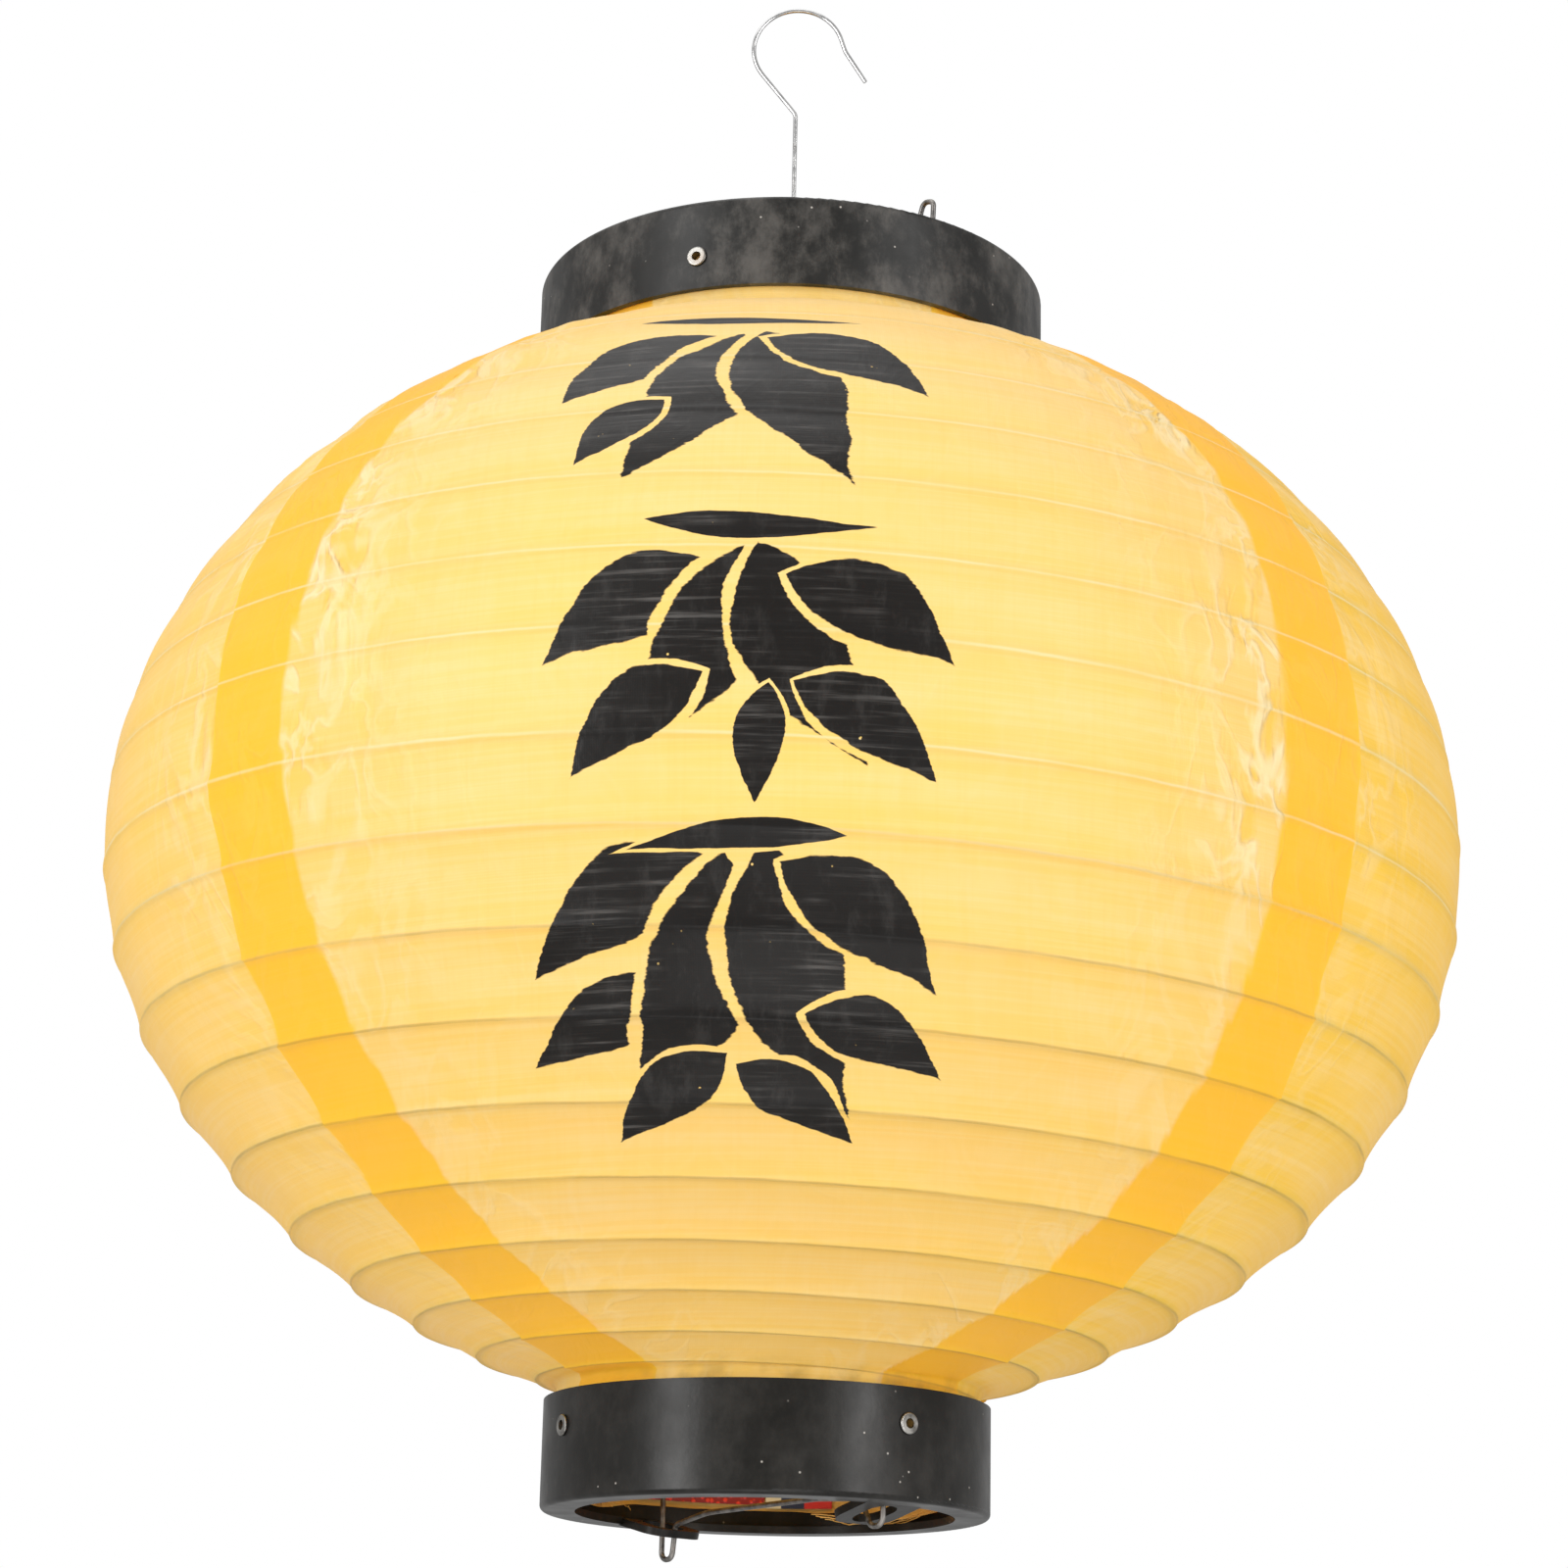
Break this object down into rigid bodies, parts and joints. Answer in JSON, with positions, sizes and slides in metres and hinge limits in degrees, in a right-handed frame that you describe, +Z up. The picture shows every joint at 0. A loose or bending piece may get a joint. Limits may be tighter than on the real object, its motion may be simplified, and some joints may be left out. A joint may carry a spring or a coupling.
{
  "type": "accordion lantern",
  "caption": "Round woven-cloth lantern on a spiral wire between two plastic rings, held open by a wire stretcher, hung by a wire hook, folds flat.",
  "frame": {"origin": "the inside of the hook's crown, on the lantern's axis, where the hook hangs on its support", "axes": "+Z up along the lantern's axis, -Y toward the printed front panel, +X to the right of a person who faces the print"},
  "size_m": [0.3986, 0.3998, 0.4881],
  "materials": {
    "hook_wire": "drawn wire, satin",
    "ring_plastic": "moulded, matte",
    "eyelet_metal": "pressed, satin",
    "stretcher_wire": "drawn wire, dull",
    "rib_wire": "coated wire",
    "yellow_cloth": "woven, thin, lets light through",
    "red_tape": "woven tape",
    "label_paper": "paper, matte"
  },
  "bodies": {
    "hook": {"hanging_hook": "hook_wire"},
    "lantern": {"top_ring": "ring_plastic", "top_eyelets": "eyelet_metal", "stretcher_frame": "stretcher_wire", "spiral_rib": "rib_wire", "front_panel": "yellow_cloth", "right_panel": "yellow_cloth", "back_panel": "yellow_cloth", "left_panel": "yellow_cloth", "top_hem": "yellow_cloth"},
    "bottom": {"bottom_ring": "ring_plastic", "bottom_eyelets": "eyelet_metal", "bottom_hem": "yellow_cloth", "red_tape": "red_tape", "paper_label": "label_paper"}
  },
  "joints": [
    {"name": "swing", "type": "hinge", "parent": "hook", "child": "lantern", "pos_m": [0, 0, -0.124], "axis": [0.6428, -0.766, 0], "range_deg": [-25, 25]},
    {"name": "collapse", "type": "slide", "parent": "lantern", "child": "bottom", "axis": [0, 0, 1], "range_m": [0, 0.25], "deforming": ["spiral_rib", "front_panel", "right_panel", "back_panel", "left_panel"]}
  ]
}
